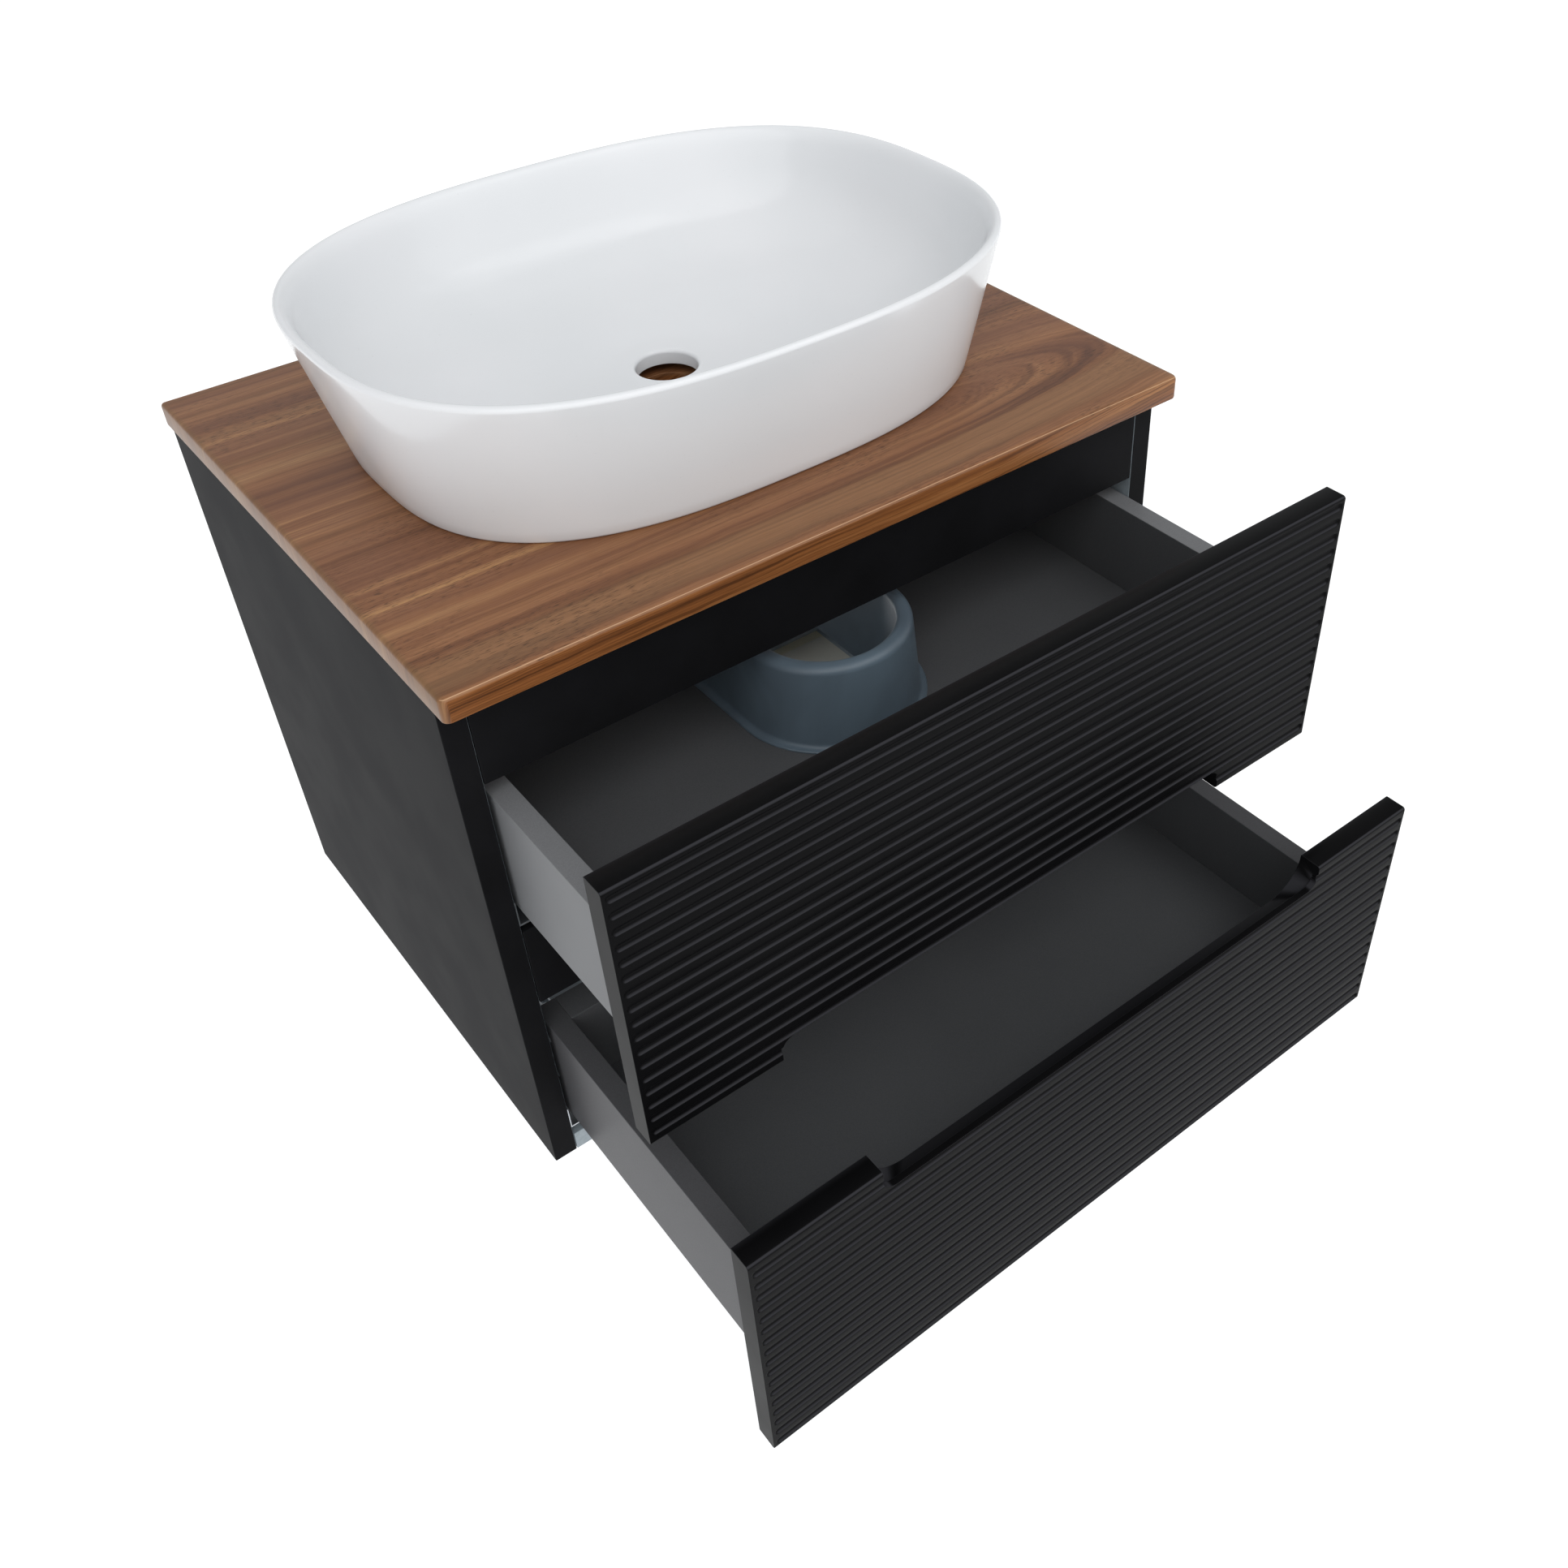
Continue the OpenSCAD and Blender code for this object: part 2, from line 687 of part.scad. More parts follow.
module lower_drawer_runner_right() {
  color(zinc) drawer_runner(lower_z0, lower_open);
}
// front catches that lock the drawer box on its runners, each with a finger tab
module front_clips(z0, y) {
  clip_in = slider_in + slider_w + 0.5;
  both_sides() {
    strip(clip_in, clip_in + 34, runner_h - 9, runner_h, y + 6, y + 62, z0);
    strip(clip_in + 10, clip_in + 24, -3, runner_h - 9, y + 10, y + 14, z0);
  }
}
module upper_front_clips() {
  color("darkorange") front_clips(upper_z0, upper_y);
}
module lower_front_clips() {
  color("darkorange") front_clips(lower_z0, lower_y);
}

// ---- drawer fronts -------------------------------------------------------

// section through a front: z = 0 is the plain long edge, the face looks to -Y
module front_section() {
  r = front_round;
  t = front_t;
  h = front_h;
  polygon(concat([[0, h], [0, 0]],
                 arc([-t + r, r], r, 270, 180, 5),
                 arc([-t + r, h - r], r, 180, 90, 5)));
}
// the grooves' cutters: rods with round ends, which stop short of the front's ends
module groove_cutters() {
  run_out = sqrt(pow(groove_r, 2) - pow(groove_r - groove_depth, 2));
  half = front_w / 2 - groove_stop - run_out;
  for (i = [0:groove_count - 1])
    translate([0, -front_t - groove_r + groove_depth, groove_start + i * groove_pitch])
      rotate([0, 90, 0])
        rotate_extrude($fn = 28)
          polygon(concat(arc([0, -half], groove_r, 270, 360, 4), arc([0, half], groove_r, 0, 90, 4)));
}
// opening of the finger recess in a thin slice: its depth, corner radius and place in Y
module grip_slice(depth, r, y, thick) {
  half = grip_w / 2;
  translate([0, y, 0])
    rotate([90, 0, 0])
      linear_extrude(thick)
        polygon(concat([[-half, front_h + 5]],
                       arc([-half + r, front_h - depth + r], r, 180, 270, 8),
                       arc([half - r, front_h - depth + r], r, 270, 360, 8),
                       [[half, front_h + 5]]));
}
// a front with its plain edge at z = 0 and its back on the plane y = 0
module front_blank() {
  lip_back = -front_t + grip_lip;
  difference() {
    rotate([90, 0, 90])
      translate([0, 0, -front_w / 2]) linear_extrude(front_w) front_section();
    groove_cutters();
    grip_slice(grip_face_h, 10, lip_back + 0.01, grip_lip + eps);
    hull() {
      grip_slice(grip_face_h + 5, 16, lip_back + 0.1, 0.1);
      grip_slice(grip_back_h, 29.5, eps, eps);
    }
  }
}
module upper_front() {
  color(black_lacquer)
  translate([0, upper_y, upper_top]) mirror([0, 0, 1]) front_blank();
}
module lower_front() {
  color(black_lacquer)
  translate([0, lower_y, lower_top - front_h]) front_blank();
}

// ---- drawer boxes --------------------------------------------------------

box_screw_y = box_l - back_t / 2;
module side_board(z0, y) {
  difference() {
    board([box_inner_x, y, z0], [box_w / 2, y + box_l, z0 + box_h]);
    for (dz = box_screw_z)
      translate([0, y + box_screw_y, z0 + dz]) {
        rod_x(box_inner_x - eps, box_w / 2 + eps, box_screw_r + fit);
        rod_x(box_w / 2 - box_head_t - 0.2, box_w / 2 + eps, box_head_r + fit);
      }
  }
}
module upper_side_left() {
  color(graphite) mirror([1, 0, 0]) side_board(upper_z0, upper_y);
}
module upper_side_right() {
  color(graphite) side_board(upper_z0, upper_y);
}
module lower_side_left() {
  color(graphite) mirror([1, 0, 0]) side_board(lower_z0, lower_y);
}
module lower_side_right() {
  color(graphite) side_board(lower_z0, lower_y);
}
module bottom_board(z0, y) {
  board([-box_inner_x, y, z0 + runner_h], [box_inner_x, y + box_l, z0 + bottom_up]);
}
skirt_t = 3;               // wall of the insert below its flange
module upper_bottom() {
  cut_r = trap_r + skirt_t + 0.5;
  color(graphite)
  difference() {
    bottom_board(upper_z0, upper_y);
    translate([0, upper_y + trap_reach, upper_z0 + runner_h - eps]) {
      cylinder(h = box_t + 2 * eps, r = cut_r, $fn = 96);
      translate([-cut_r, 0, 0]) cube([2 * cut_r, box_l, box_t + 2 * eps]);
    }
  }
}
module lower_bottom() {
  color(graphite) bottom_board(lower_z0, lower_y);
}
// a back board between two places in X, standing on the drawer bottom
module back_board(x0, x1, z0, y) {
  difference() {
    board([x0, y + box_l - back_t, z0 + bottom_up], [x1, y + box_l, z0 + box_h]);
    for (dz = box_screw_z)
      translate([0, y + box_screw_y, z0 + dz])
        both_sides() rod_x(box_inner_x - box_screw_l - 1, box_inner_x + eps, box_screw_r + fit);
  }
}
module upper_back_left() {
  color(graphite) back_board(-box_inner_x, -trap_flange_r - 1, upper_z0, upper_y);
}
module upper_back_right() {
  color(graphite) back_board(trap_flange_r + 1, box_inner_x, upper_z0, upper_y);
}
module lower_back() {
  color(graphite) back_board(-box_inner_x, box_inner_x, lower_z0, lower_y);
}
module box_screws(z0, y) {
  both_sides()
    for (dz = box_screw_z)
      translate([0, y + box_screw_y, z0 + dz]) {
        rod_x(box_inner_x - box_screw_l, box_w / 2 - box_head_t, box_screw_r);
        rod_x(box_w / 2 - box_head_t, box_w / 2, box_head_r);
      }
}
module upper_box_screws() {
  color(zinc) box_screws(upper_z0, upper_y);
}
module lower_box_screws() {
  color(zinc) box_screws(lower_z0, lower_y);
}
// round buffers on the back of a front, where it meets the side panels' front edges
module buffers(top, y) {
  both_sides()
    for (dz = [22, front_h - 50])
      translate([inner_x + panel_t / 2, y, top - dz]) rotate([-90, 0, 0]) cylinder(h = buffer_t, r = 5);
}
module upper_buffers() {
  color("whitesmoke") buffers(upper_top, upper_y);
}
module lower_buffers() {
  color("whitesmoke") buffers(lower_top, lower_y);
}

// ---- trap insert ---------------------------------------------------------

// section of the collar: x outwards from the recess's centre line, y up from the drawer bottom
module collar_section() {
  rim = 6.2;               // rounding of the rim
  root = trap_rim_r + 4.2; // the wall's radius at its root
  root_fillet = 4;
  flange_h = 1.6;
  polygon(concat(
    [[trap_r, -box_t], [trap_r + skirt_t, -box_t], [trap_r + skirt_t, 0], [trap_flange_r, 0],
     [trap_flange_r, flange_h - 0.6], [trap_flange_r - 0.6, flange_h]],
    arc([root + root_fillet, flange_h + root_fillet], root_fillet, 270, 184, 6),
    arc([trap_rim_r - rim, trap_h - rim], rim, 4, 90, 7),
    arc([trap_r + 4, trap_h - 4], 4, 90, 180, 5)
  ));
}
module trap_insert() {
  leg = box_l - trap_reach;
  color(blue_grey)
  translate([0, upper_y + trap_reach, upper_z0 + bottom_up]) {
    rotate([0, 0, 180]) rotate_extrude(angle = 180, $fn = 96) collar_section();
    both_sides()
      rotate([90, 0, 0]) translate([0, 0, -leg]) linear_extrude(leg) collar_section();
  }
}

// ---- nodes ---------------------------------------------------------------

basin();
basin_sealant();
worktop();
side_panel_left();
side_panel_right();
bottom_panel();
top_front_rail();
middle_front_rail();
rear_top_rail();
rear_bottom_rail();
hanger_housings();
hanger_hooks();
hanger_screws();
wall_plates();
worktop_brackets();
bracket_screws();
cam_locks();
cam_bolts();
dowels();
paper_label();
upper_cabinet_runner_left();
upper_cabinet_runner_right();
lower_cabinet_runner_left();
lower_cabinet_runner_right();
runner_screws();
upper_middle_runner_left();
upper_middle_runner_right();
upper_runner_rollers();
lower_middle_runner_left();
lower_middle_runner_right();
lower_runner_rollers();
upper_front();
upper_side_left();
upper_side_right();
upper_bottom();
upper_back_left();
upper_back_right();
trap_insert();
upper_drawer_runner_left();
upper_drawer_runner_right();
upper_front_clips();
upper_box_screws();
upper_buffers();
lower_front();
lower_side_left();
lower_side_right();
lower_bottom();
lower_back();
lower_drawer_runner_left();
lower_drawer_runner_right();
lower_front_clips();
lower_box_screws();
lower_buffers();
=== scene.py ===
"""Looks of a wall-hung vanity with an oval vessel basin: camera, light, pieces and materials.

Everything is in metres in the CAD model's frame: X to the right, the wall at y = 0, fronts
towards -Y, +Z up.
"""

import math

import bmesh
import bpy
from mathutils import Matrix, Vector


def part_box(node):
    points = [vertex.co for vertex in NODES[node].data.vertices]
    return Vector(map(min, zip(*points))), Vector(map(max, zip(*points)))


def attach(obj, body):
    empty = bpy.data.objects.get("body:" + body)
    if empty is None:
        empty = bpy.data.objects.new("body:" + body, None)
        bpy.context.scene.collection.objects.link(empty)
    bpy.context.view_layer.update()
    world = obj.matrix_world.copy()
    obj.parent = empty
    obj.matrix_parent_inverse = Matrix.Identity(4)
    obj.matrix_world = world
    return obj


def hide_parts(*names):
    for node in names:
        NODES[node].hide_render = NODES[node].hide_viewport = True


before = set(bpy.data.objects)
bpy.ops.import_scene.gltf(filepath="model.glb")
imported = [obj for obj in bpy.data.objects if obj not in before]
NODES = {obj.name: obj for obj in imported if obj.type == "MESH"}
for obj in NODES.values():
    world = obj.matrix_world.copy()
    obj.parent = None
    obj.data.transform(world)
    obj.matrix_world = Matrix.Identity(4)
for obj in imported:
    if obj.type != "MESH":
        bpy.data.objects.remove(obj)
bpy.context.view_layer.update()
MM = 0.001


# ---- camera ----------------------------------------------------------------

def make_camera():
    """The camera looks down on the left front corner, with a slight roll and a small shift."""
    heading, pitch, roll = (math.radians(a) for a in (38.80, 39.96, -0.825))
    place = (-0.5201, -1.1647, 0.6349)
    data = bpy.data.cameras.new("camera")
    data.sensor_width = 36
    data.lens = 36.13
    data.shift_x = -0.0885
    data.shift_y = -0.0379
    data.clip_start = 0.01
    data.clip_end = 200
    camera = bpy.data.objects.new("camera", data)
    turn = (Matrix.Rotation(-heading, 4, "Z") @ Matrix.Rotation(math.pi / 2 - pitch, 4, "X")
            @ Matrix.Rotation(roll, 4, "Z"))
    camera.matrix_world = Matrix.Translation(place) @ turn
    bpy.context.scene.collection.objects.link(camera)
    bpy.context.scene.camera = camera


# ---- shader building -------------------------------------------------------

def rgb(code):
    """A linear colour from a code such as "#7a5a40"."""
    def linear(v):
        return v / 12.92 if v <= 0.04045 else ((v + 0.055) / 1.055) ** 2.4
    return tuple(linear(int(code[i:i + 2], 16) / 255) for i in (1, 3, 5)) + (1.0,)


class Look:
    """A Principled material, with short ways to add nodes to it."""

    def __init__(self, name, **surface):
        self.material = bpy.data.materials.new(name)
        self.material.use_nodes = True
        self.tree = self.material.node_tree
        self.surface = self.tree.nodes["Principled BSDF"]
        coordinates = self.tree.nodes.new("ShaderNodeTexCoord")
        self.place = coordinates.outputs["Object"]
        self.normal = coordinates.outputs["Normal"]
        self.set(**surface)

    def plug(self, socket, value):
        if isinstance(value, bpy.types.NodeSocket):
            self.tree.links.new(value, socket)
        else:
            socket.default_value = value

    def set(self, **surface):
        """Values or links of the surface shader's own sockets: Base_Color=..., Roughness=..."""
        for key, value in surface.items():
            self.plug(self.surface.inputs[key.replace("_", " ")], value)

    def math(self, operation, a, b=0.0, c=0.0):
        node = self.tree.nodes.new("ShaderNodeMath")
        node.operation = operation
        for socket, value in zip(node.inputs, (a, b, c)):
            self.plug(socket, value)
        return node.outputs[0]

    def split(self, vector):
        node = self.tree.nodes.new("ShaderNodeSeparateXYZ")
        self.plug(node.inputs[0], vector)
        return node.outputs[0], node.outputs[1], node.outputs[2]

    def join(self, x, y, z=0.0):
        node = self.tree.nodes.new("ShaderNodeCombineXYZ")
        for socket, value in zip(node.inputs, (x, y, z)):
            self.plug(socket, value)
        return node.outputs[0]

    def scaled(self, x, y, z):
        """The place with each axis multiplied."""
        node = self.tree.nodes.new("ShaderNodeVectorMath")
        node.operation = "MULTIPLY"
        self.plug(node.inputs[0], self.place)
        node.inputs[1].default_value = (x, y, z)
        return node.outputs[0]

    def noise(self, scale, detail=2.0, rough=0.5, vector=None, warp=0.0):
        node = self.tree.nodes.new("ShaderNodeTexNoise")
        self.plug(node.inputs["Vector"], vector or self.place)
        node.inputs["Scale"].default_value = scale
        node.inputs["Detail"].default_value = detail
        node.inputs["Roughness"].default_value = rough
        node.inputs["Distortion"].default_value = warp
        return node.outputs[0]

    def cells(self, scale):
        """A random grey for each cell of a Voronoi pattern."""
        node = self.tree.nodes.new("ShaderNodeTexVoronoi")
        self.plug(node.inputs["Vector"], self.place)
        node.inputs["Scale"].default_value = scale
        return self.split(node.outputs["Color"])[0]

    def between(self, value, low, high, out_low=0.0, out_high=1.0):
        """Smooth step from low to high, as out_low to out_high."""
        node = self.tree.nodes.new("ShaderNodeMapRange")
        node.interpolation_type = "SMOOTHSTEP"
        for socket, v in zip(node.inputs, (value, low, high, out_low, out_high)):
            self.plug(socket, v)
        return node.outputs[0]

    def ramp(self, value, *stops):
        """Colours along a value: each stop is (position, colour code)."""
        node = self.tree.nodes.new("ShaderNodeValToRGB")
        self.plug(node.inputs[0], value)
        elements = node.color_ramp.elements
        while len(elements) < len(stops):
            elements.new(1.0)
        for element, (position, code) in zip(elements, stops):
            element.position = position
            element.color = rgb(code)
        return node.outputs[0]

    def mix(self, share, a, b):
        """Colour a turning into colour b; a colour may be a code."""
        node = self.tree.nodes.new("ShaderNodeMix")
        node.data_type = "RGBA"
        for socket, value in zip((node.inputs[0], node.inputs[6], node.inputs[7]), (share, a, b)):
            self.plug(socket, rgb(value) if isinstance(value, str) else value)
        return node.outputs[2]

    def bump(self, *layers):
        """Surface relief: each layer is (height, distance in metres)."""
        normal = None
        for height, distance in layers:
            node = self.tree.nodes.new("ShaderNodeBump")
            node.inputs["Distance"].default_value = distance
            node.inputs["Strength"].default_value = 1.0
            self.plug(node.inputs["Height"], height)
            if normal:
                self.plug(node.inputs["Normal"], normal)
            normal = node.outputs[0]
        self.set(Normal=normal)

    def edges(self, radius):
        """1 along outer and inner edges, 0 on flat faces."""
        bevel = self.tree.nodes.new("ShaderNodeBevel")
        bevel.samples = 4
        bevel.inputs["Radius"].default_value = radius
        geometry = self.tree.nodes.new("ShaderNodeNewGeometry")
        dot = self.tree.nodes.new("ShaderNodeVectorMath")
        dot.operation = "DOT_PRODUCT"
        self.plug(dot.inputs[0], bevel.outputs[0])
        self.plug(dot.inputs[1], geometry.outputs["Normal"])
        return self.between(dot.outputs["Value"], 0.99, 0.82)


# ---- materials -------------------------------------------------------------

def walnut():
    """Walnut-decor foil. The grain runs along X and folds over the worktop's edges."""
    heart_y, heart_drift = -0.38, 0.035
    figure_start, figure_spread = 0.09, 0.2
    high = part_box("worktop")[1]
    look = Look("walnut_foil", Specular_IOR_Level=0.3)
    x, y, z = look.split(look.place)
    below = look.math("SUBTRACT", high.z, z)
    side = look.between(look.math("ABSOLUTE", x), high.x - 5 * MM, high.x - 1 * MM)
    not_side = look.math("SUBTRACT", 1.0, side)
    outward = look.math("MULTIPLY", look.math("SIGN", x), look.math("MULTIPLY", below, side))
    along = look.math("ADD", x, outward)
    across = look.math("SUBTRACT", y, look.math("MULTIPLY", below, not_side))

    # Rings around a heart line that wanders; right of figure_start they close into a point.
    drift = look.noise(3.0, 2.0, 0.5, look.join(look.math("MULTIPLY", along, 0.5), across, 3.7))
    heart = look.math("MULTIPLY_ADD", look.math("SUBTRACT", drift, 0.5), heart_drift,
                      look.math("SUBTRACT", across, heart_y))
    tip = look.math("MAXIMUM", look.math("SUBTRACT", along, figure_start), 0.0)
    tip = look.math("MULTIPLY", tip, figure_spread)
    ring = look.math("MULTIPLY_ADD", heart, heart, look.math("MULTIPLY", tip, tip))
    ring = look.math("SQRT", ring)
    wiggle = look.noise(24.0, 3.0, 0.55, look.join(along, look.math("MULTIPLY", across, 3.0), 1.3))
    ring = look.math("MULTIPLY_ADD", look.math("SUBTRACT", wiggle, 0.5), 0.0035, ring)
    flank = look.math("MULTIPLY", heart, 12.0)

    def bands(per_metre, along_scale, detail, rough, seed):
        """Streaks that follow the rings."""
        return look.noise(1.0, detail, rough, look.join(
            look.math("MULTIPLY", ring, per_metre), look.math("MULTIPLY", along, along_scale),
            look.math("ADD", flank, seed)))

    def strands(along_scale, across_scale, detail, rough, seed):
        """Straight streaks along the grain."""
        return look.noise(1.0, detail, rough, look.join(
            look.math("MULTIPLY", along, along_scale),
            look.math("MULTIPLY", across, across_scale), seed))

    wide = bands(58.0, 0.9, 1.5, 0.5, 0.0)
    narrow = bands(190.0, 2.0, 2.0, 0.55, 5.0)
    lines = bands(620.0, 5.0, 2.0, 0.6, 11.0)
    hue = bands(33.0, 0.6, 1.0, 0.5, 21.0)
    fibre = strands(42.0, 1500.0, 3.0, 0.65, 9.0)
    pores = strands(130.0, 1050.0, 1.0, 0.5, 2.0)
    clumps = look.between(look.noise(8.0, 2.0, 0.5, look.scaled(0.7, 2.5, 1.0)), 0.42, 0.62)
    dashes = look.math("MULTIPLY", look.between(pores, 0.55, 0.66), clumps)

    tone = look.math("MULTIPLY", narrow, 0.25)
    for streaks, share in ((wide, 0.34), (lines, 0.22), (fibre, 0.19)):
        tone = look.math("MULTIPLY_ADD", streaks, share, tone)
    wood = look.ramp(tone, (0.34, "#4a2b19"), (0.45, "#71492d"), (0.52, "#875b3b"),
                     (0.58, "#956946"), (0.68, "#bf915f"))
    wood = look.mix(look.between(hue, 0.42, 0.62, 0.0, 0.5), wood, "#6c4532")
    wood = look.mix(look.between(hue, 0.5, 0.36, 0.0, 0.35), wood, "#8a6a4a")
    vein = look.math("MULTIPLY", look.between(narrow, 0.4, 0.33),
                     look.between(tip, 0.002, 0.012))
    wood = look.mix(look.math("MULTIPLY", vein, 0.25), wood, "#4a2e22")
    wood = look.mix(look.math("MULTIPLY", dashes, 0.62), wood, "#38210f")

    # The front edge is more golden, with dark lines; the arris above it has a painted highlight.
    front_edge = look.math("MULTIPLY", look.between(below, 1.5 * MM, 3 * MM), not_side)
    tan = look.ramp(tone, (0.38, "#54301a"), (0.5, "#855129"), (0.62, "#a06c3e"))
    wood = look.mix(look.math("MULTIPLY", front_edge, 0.8), wood, tan)
    streak = look.math("MULTIPLY", front_edge, look.between(lines, 0.52, 0.38))
    wood = look.mix(look.math("MULTIPLY", streak, 0.5), wood, "#4a2c16")
    wood = look.mix(look.math("MULTIPLY", side, 0.45), wood, "#735533")
    # Painted highlight: a pale line along the front top arris, where the rounding faces up and
    # forward.
    forward, upward = look.split(look.normal)[1:]
    painted_arris_highlight = look.math("MULTIPLY", look.between(upward, 0.63, 0.69),
                      look.between(upward, 0.81, 0.75))
    painted_arris_highlight = look.math("MULTIPLY", painted_arris_highlight, look.between(forward, -0.3, -0.5))
    wood = look.mix(look.math("MULTIPLY", painted_arris_highlight, 0.6), wood, "#cfa882")
    look.set(Base_Color=wood, Roughness=look.between(fibre, 0.3, 0.7, 0.36, 0.29))
    look.bump((look.noise(9.0, 1.0), 0.2 * MM), (fibre, 0.01 * MM), (dashes, -0.02 * MM))
    return look.material


def black_foil(name, inner_x=None):
    """Black satin foil on board; inside of inner_x the board is pale grey."""
    look = Look(name, Specular_IOR_Level=0.02)
    pearl = look.noise(1500.0, 2.0, 0.6)
    cloud = look.noise(14.0, 3.0, 0.55)
    mixed = look.math("MULTIPLY_ADD", pearl, 0.3, look.math("MULTIPLY", cloud, 0.7))
    colour = look.ramp(mixed, (0.35, "#161617"), (0.65, "#1c1c1e"))
    colour = look.mix(look.math("MULTIPLY", look.edges(0.8 * MM), 0.35), colour, "#2c2c2e")
    if inner_x is not None:
        x = look.split(look.place)[0]
        inside = look.between(look.math("ABSOLUTE", x), inner_x + 0.35 * MM,
                              inner_x + 0.25 * MM)
        colour = look.mix(inside, colour, grey_melamine_colour(look))
    look.set(Base_Color=colour, Roughness=look.between(cloud, 0.3, 0.7, 0.45, 0.5))
    look.bump((pearl, 0.012 * MM), (look.noise(160.0, 1.0), 0.008 * MM))
    return look.material


def grey_melamine_colour(look):
    """Pale blue-grey paper decor with a faint fleck."""
    fleck = look.noise(420.0, 3.0, 0.7)
    return look.ramp(fleck, (0.3, "#8f9aa0"), (0.7, "#a0aab0"))


def grey_melamine():
    look = Look("grey_melamine", Specular_IOR_Level=0.4)
    pearl = look.noise(1500.0, 2.0, 0.6)
    edge = look.math("MULTIPLY", look.edges(0.8 * MM), 0.25)
    look.set(Base_Color=look.mix(edge, grey_melamine_colour(look), "#b4babd"),
             Roughness=look.between(pearl, 0.3, 0.7, 0.42, 0.5))
    look.bump((pearl, 0.012 * MM))
    return look.material


def black_lacquer():
    """Satin lacquer: faint orange peel, and painted highlights on the edges and on the grooves'
    lower flanks.
    """
    look = Look("black_lacquer", Specular_IOR_Level=0.03)
    peel = look.noise(230.0, 2.0, 0.5)
    grain = look.noise(1900.0, 2.0, 0.6)
    cloud = look.noise(9.0, 3.0, 0.6)
    mixed = look.math("MULTIPLY_ADD", grain, 0.35, look.math("MULTIPLY", cloud, 0.65))
    colour = look.ramp(mixed, (0.35, "#0a0a0b"), (0.65, "#0f0f10"))
    # Painted highlight: the grooves' upward-facing lower flanks are mixed towards a paler grey.
    upward = look.split(look.normal)[2]
    flank = look.math("MULTIPLY", look.between(upward, 0.3, 0.72),
                      look.between(upward, 0.97, 0.86))
    colour = look.mix(look.math("MULTIPLY", flank, 0.65), colour, "#3c3c40")
    # Painted highlight: paler along the edges.
    colour = look.mix(look.math("MULTIPLY", look.edges(0.5 * MM), 0.3), colour, "#28282b")
    look.set(Base_Color=colour, Roughness=look.between(cloud, 0.3, 0.7, 0.3, 0.36))
    look.bump((peel, 0.012 * MM), (grain, 0.006 * MM))
    return look.material


def graphite_melamine(name, inner_x, outer_low, outer_high):
    """Graphite decor with a fine pearl texture; the box's outer faces take their own tone, given
    for each drawer as painted light and shade.
    """
    look = Look(name, Specular_IOR_Level=0.12)
    pearl = look.noise(1300.0, 3.0, 0.65)
    cloud = look.noise(7.0, 2.0, 0.5)
    x = look.split(look.place)[0]
    outside = look.between(look.math("ABSOLUTE", x), inner_x + 0.1 * MM, inner_x + 0.3 * MM)
    mixed = look.math("MULTIPLY_ADD", pearl, 0.6, look.math("MULTIPLY", cloud, 0.4))
    inner = look.ramp(mixed, (0.35, "#505153"), (0.65, "#5b5c5e"))
    outer = look.ramp(mixed, (0.35, outer_low), (0.65, outer_high))
    colour = look.mix(outside, inner, outer)
    colour = look.mix(look.math("MULTIPLY", look.edges(0.8 * MM), 0.3), colour, "#909192")
    look.set(Base_Color=colour, Roughness=look.between(pearl, 0.3, 0.7, 0.38, 0.46))
    look.bump((pearl, 0.014 * MM), (look.noise(120.0, 1.0), 0.015 * MM))
    return look.material


def glazed_ceramic():
    """White glaze, a little wavy, with a few faint pinholes."""
    look = Look("white_glaze", Specular_IOR_Level=0.5, IOR=1.52, Coat_Weight=0.3,
                Coat_Roughness=0.03, Coat_IOR=1.4)
    wave = look.noise(16.0, 2.0, 0.5)
    specks = look.between(look.noise(600.0, 1.0, 0.5), 0.76, 0.8)
    glaze = look.ramp(look.noise(6.0, 2.0, 0.5), (0.35, "#dbdddf"), (0.65, "#e0e1e3"))
    look.set(Base_Color=look.mix(look.math("MULTIPLY", specks, 0.25), glaze, "#b9b8b4"),
             Roughness=look.between(wave, 0.3, 0.7, 0.16, 0.22))
    look.bump((wave, 0.12 * MM), (specks, -0.01 * MM))
    return look.material


def moulded_plastic(name, dark, pale, roughness):
    """Moulded plastic with a fine spark-eroded texture."""
    look = Look(name, Specular_IOR_Level=0.45)
    grain = look.noise(1100.0, 3.0, 0.6)
    flow = look.noise(11.0, 3.0, 0.6, warp=0.6)
    look.set(Base_Color=look.ramp(flow, (0.35, dark), (0.65, pale)),
             Roughness=look.between(grain, 0.3, 0.7, roughness - 0.05, roughness + 0.06))
    look.bump((grain, 0.02 * MM))
    return look.material


def plated_steel(name, code, roughness):
    """Zinc-plated sheet: cloudy spangles, fine rolling lines along Y, and a few dull spots."""
    look = Look(name, Metallic=1.0)
    spangle = look.cells(160.0)
    rolled = look.noise(1.0, 3.0, 0.6, look.scaled(900.0, 14.0, 900.0))
    dull = look.between(look.noise(22.0, 3.0, 0.6), 0.5, 0.75)
    colour = look.mix(look.math("MULTIPLY", spangle, 0.22), code, "#a9adb2")
    colour = look.mix(look.math("MULTIPLY", dull, 0.3), colour, "#8b8d8f")
    rough = look.math("MULTIPLY_ADD", rolled, 0.14, roughness - 0.07)
    look.set(Base_Color=colour, Roughness=look.math("MULTIPLY_ADD", dull, 0.12, rough))
    look.bump((rolled, 0.008 * MM), (spangle, 0.006 * MM))
    return look.material


def beech():
    look = Look("raw_beech", Specular_IOR_Level=0.3)
    rays = look.noise(1.0, 3.0, 0.6, look.scaled(90.0, 900.0, 900.0))
    look.set(Base_Color=look.ramp(rays, (0.3, "#b48a5c"), (0.7, "#d6b088")),
             Roughness=look.between(rays, 0.3, 0.7, 0.6, 0.75))
    look.bump((rays, 0.05 * MM))
    return look.material


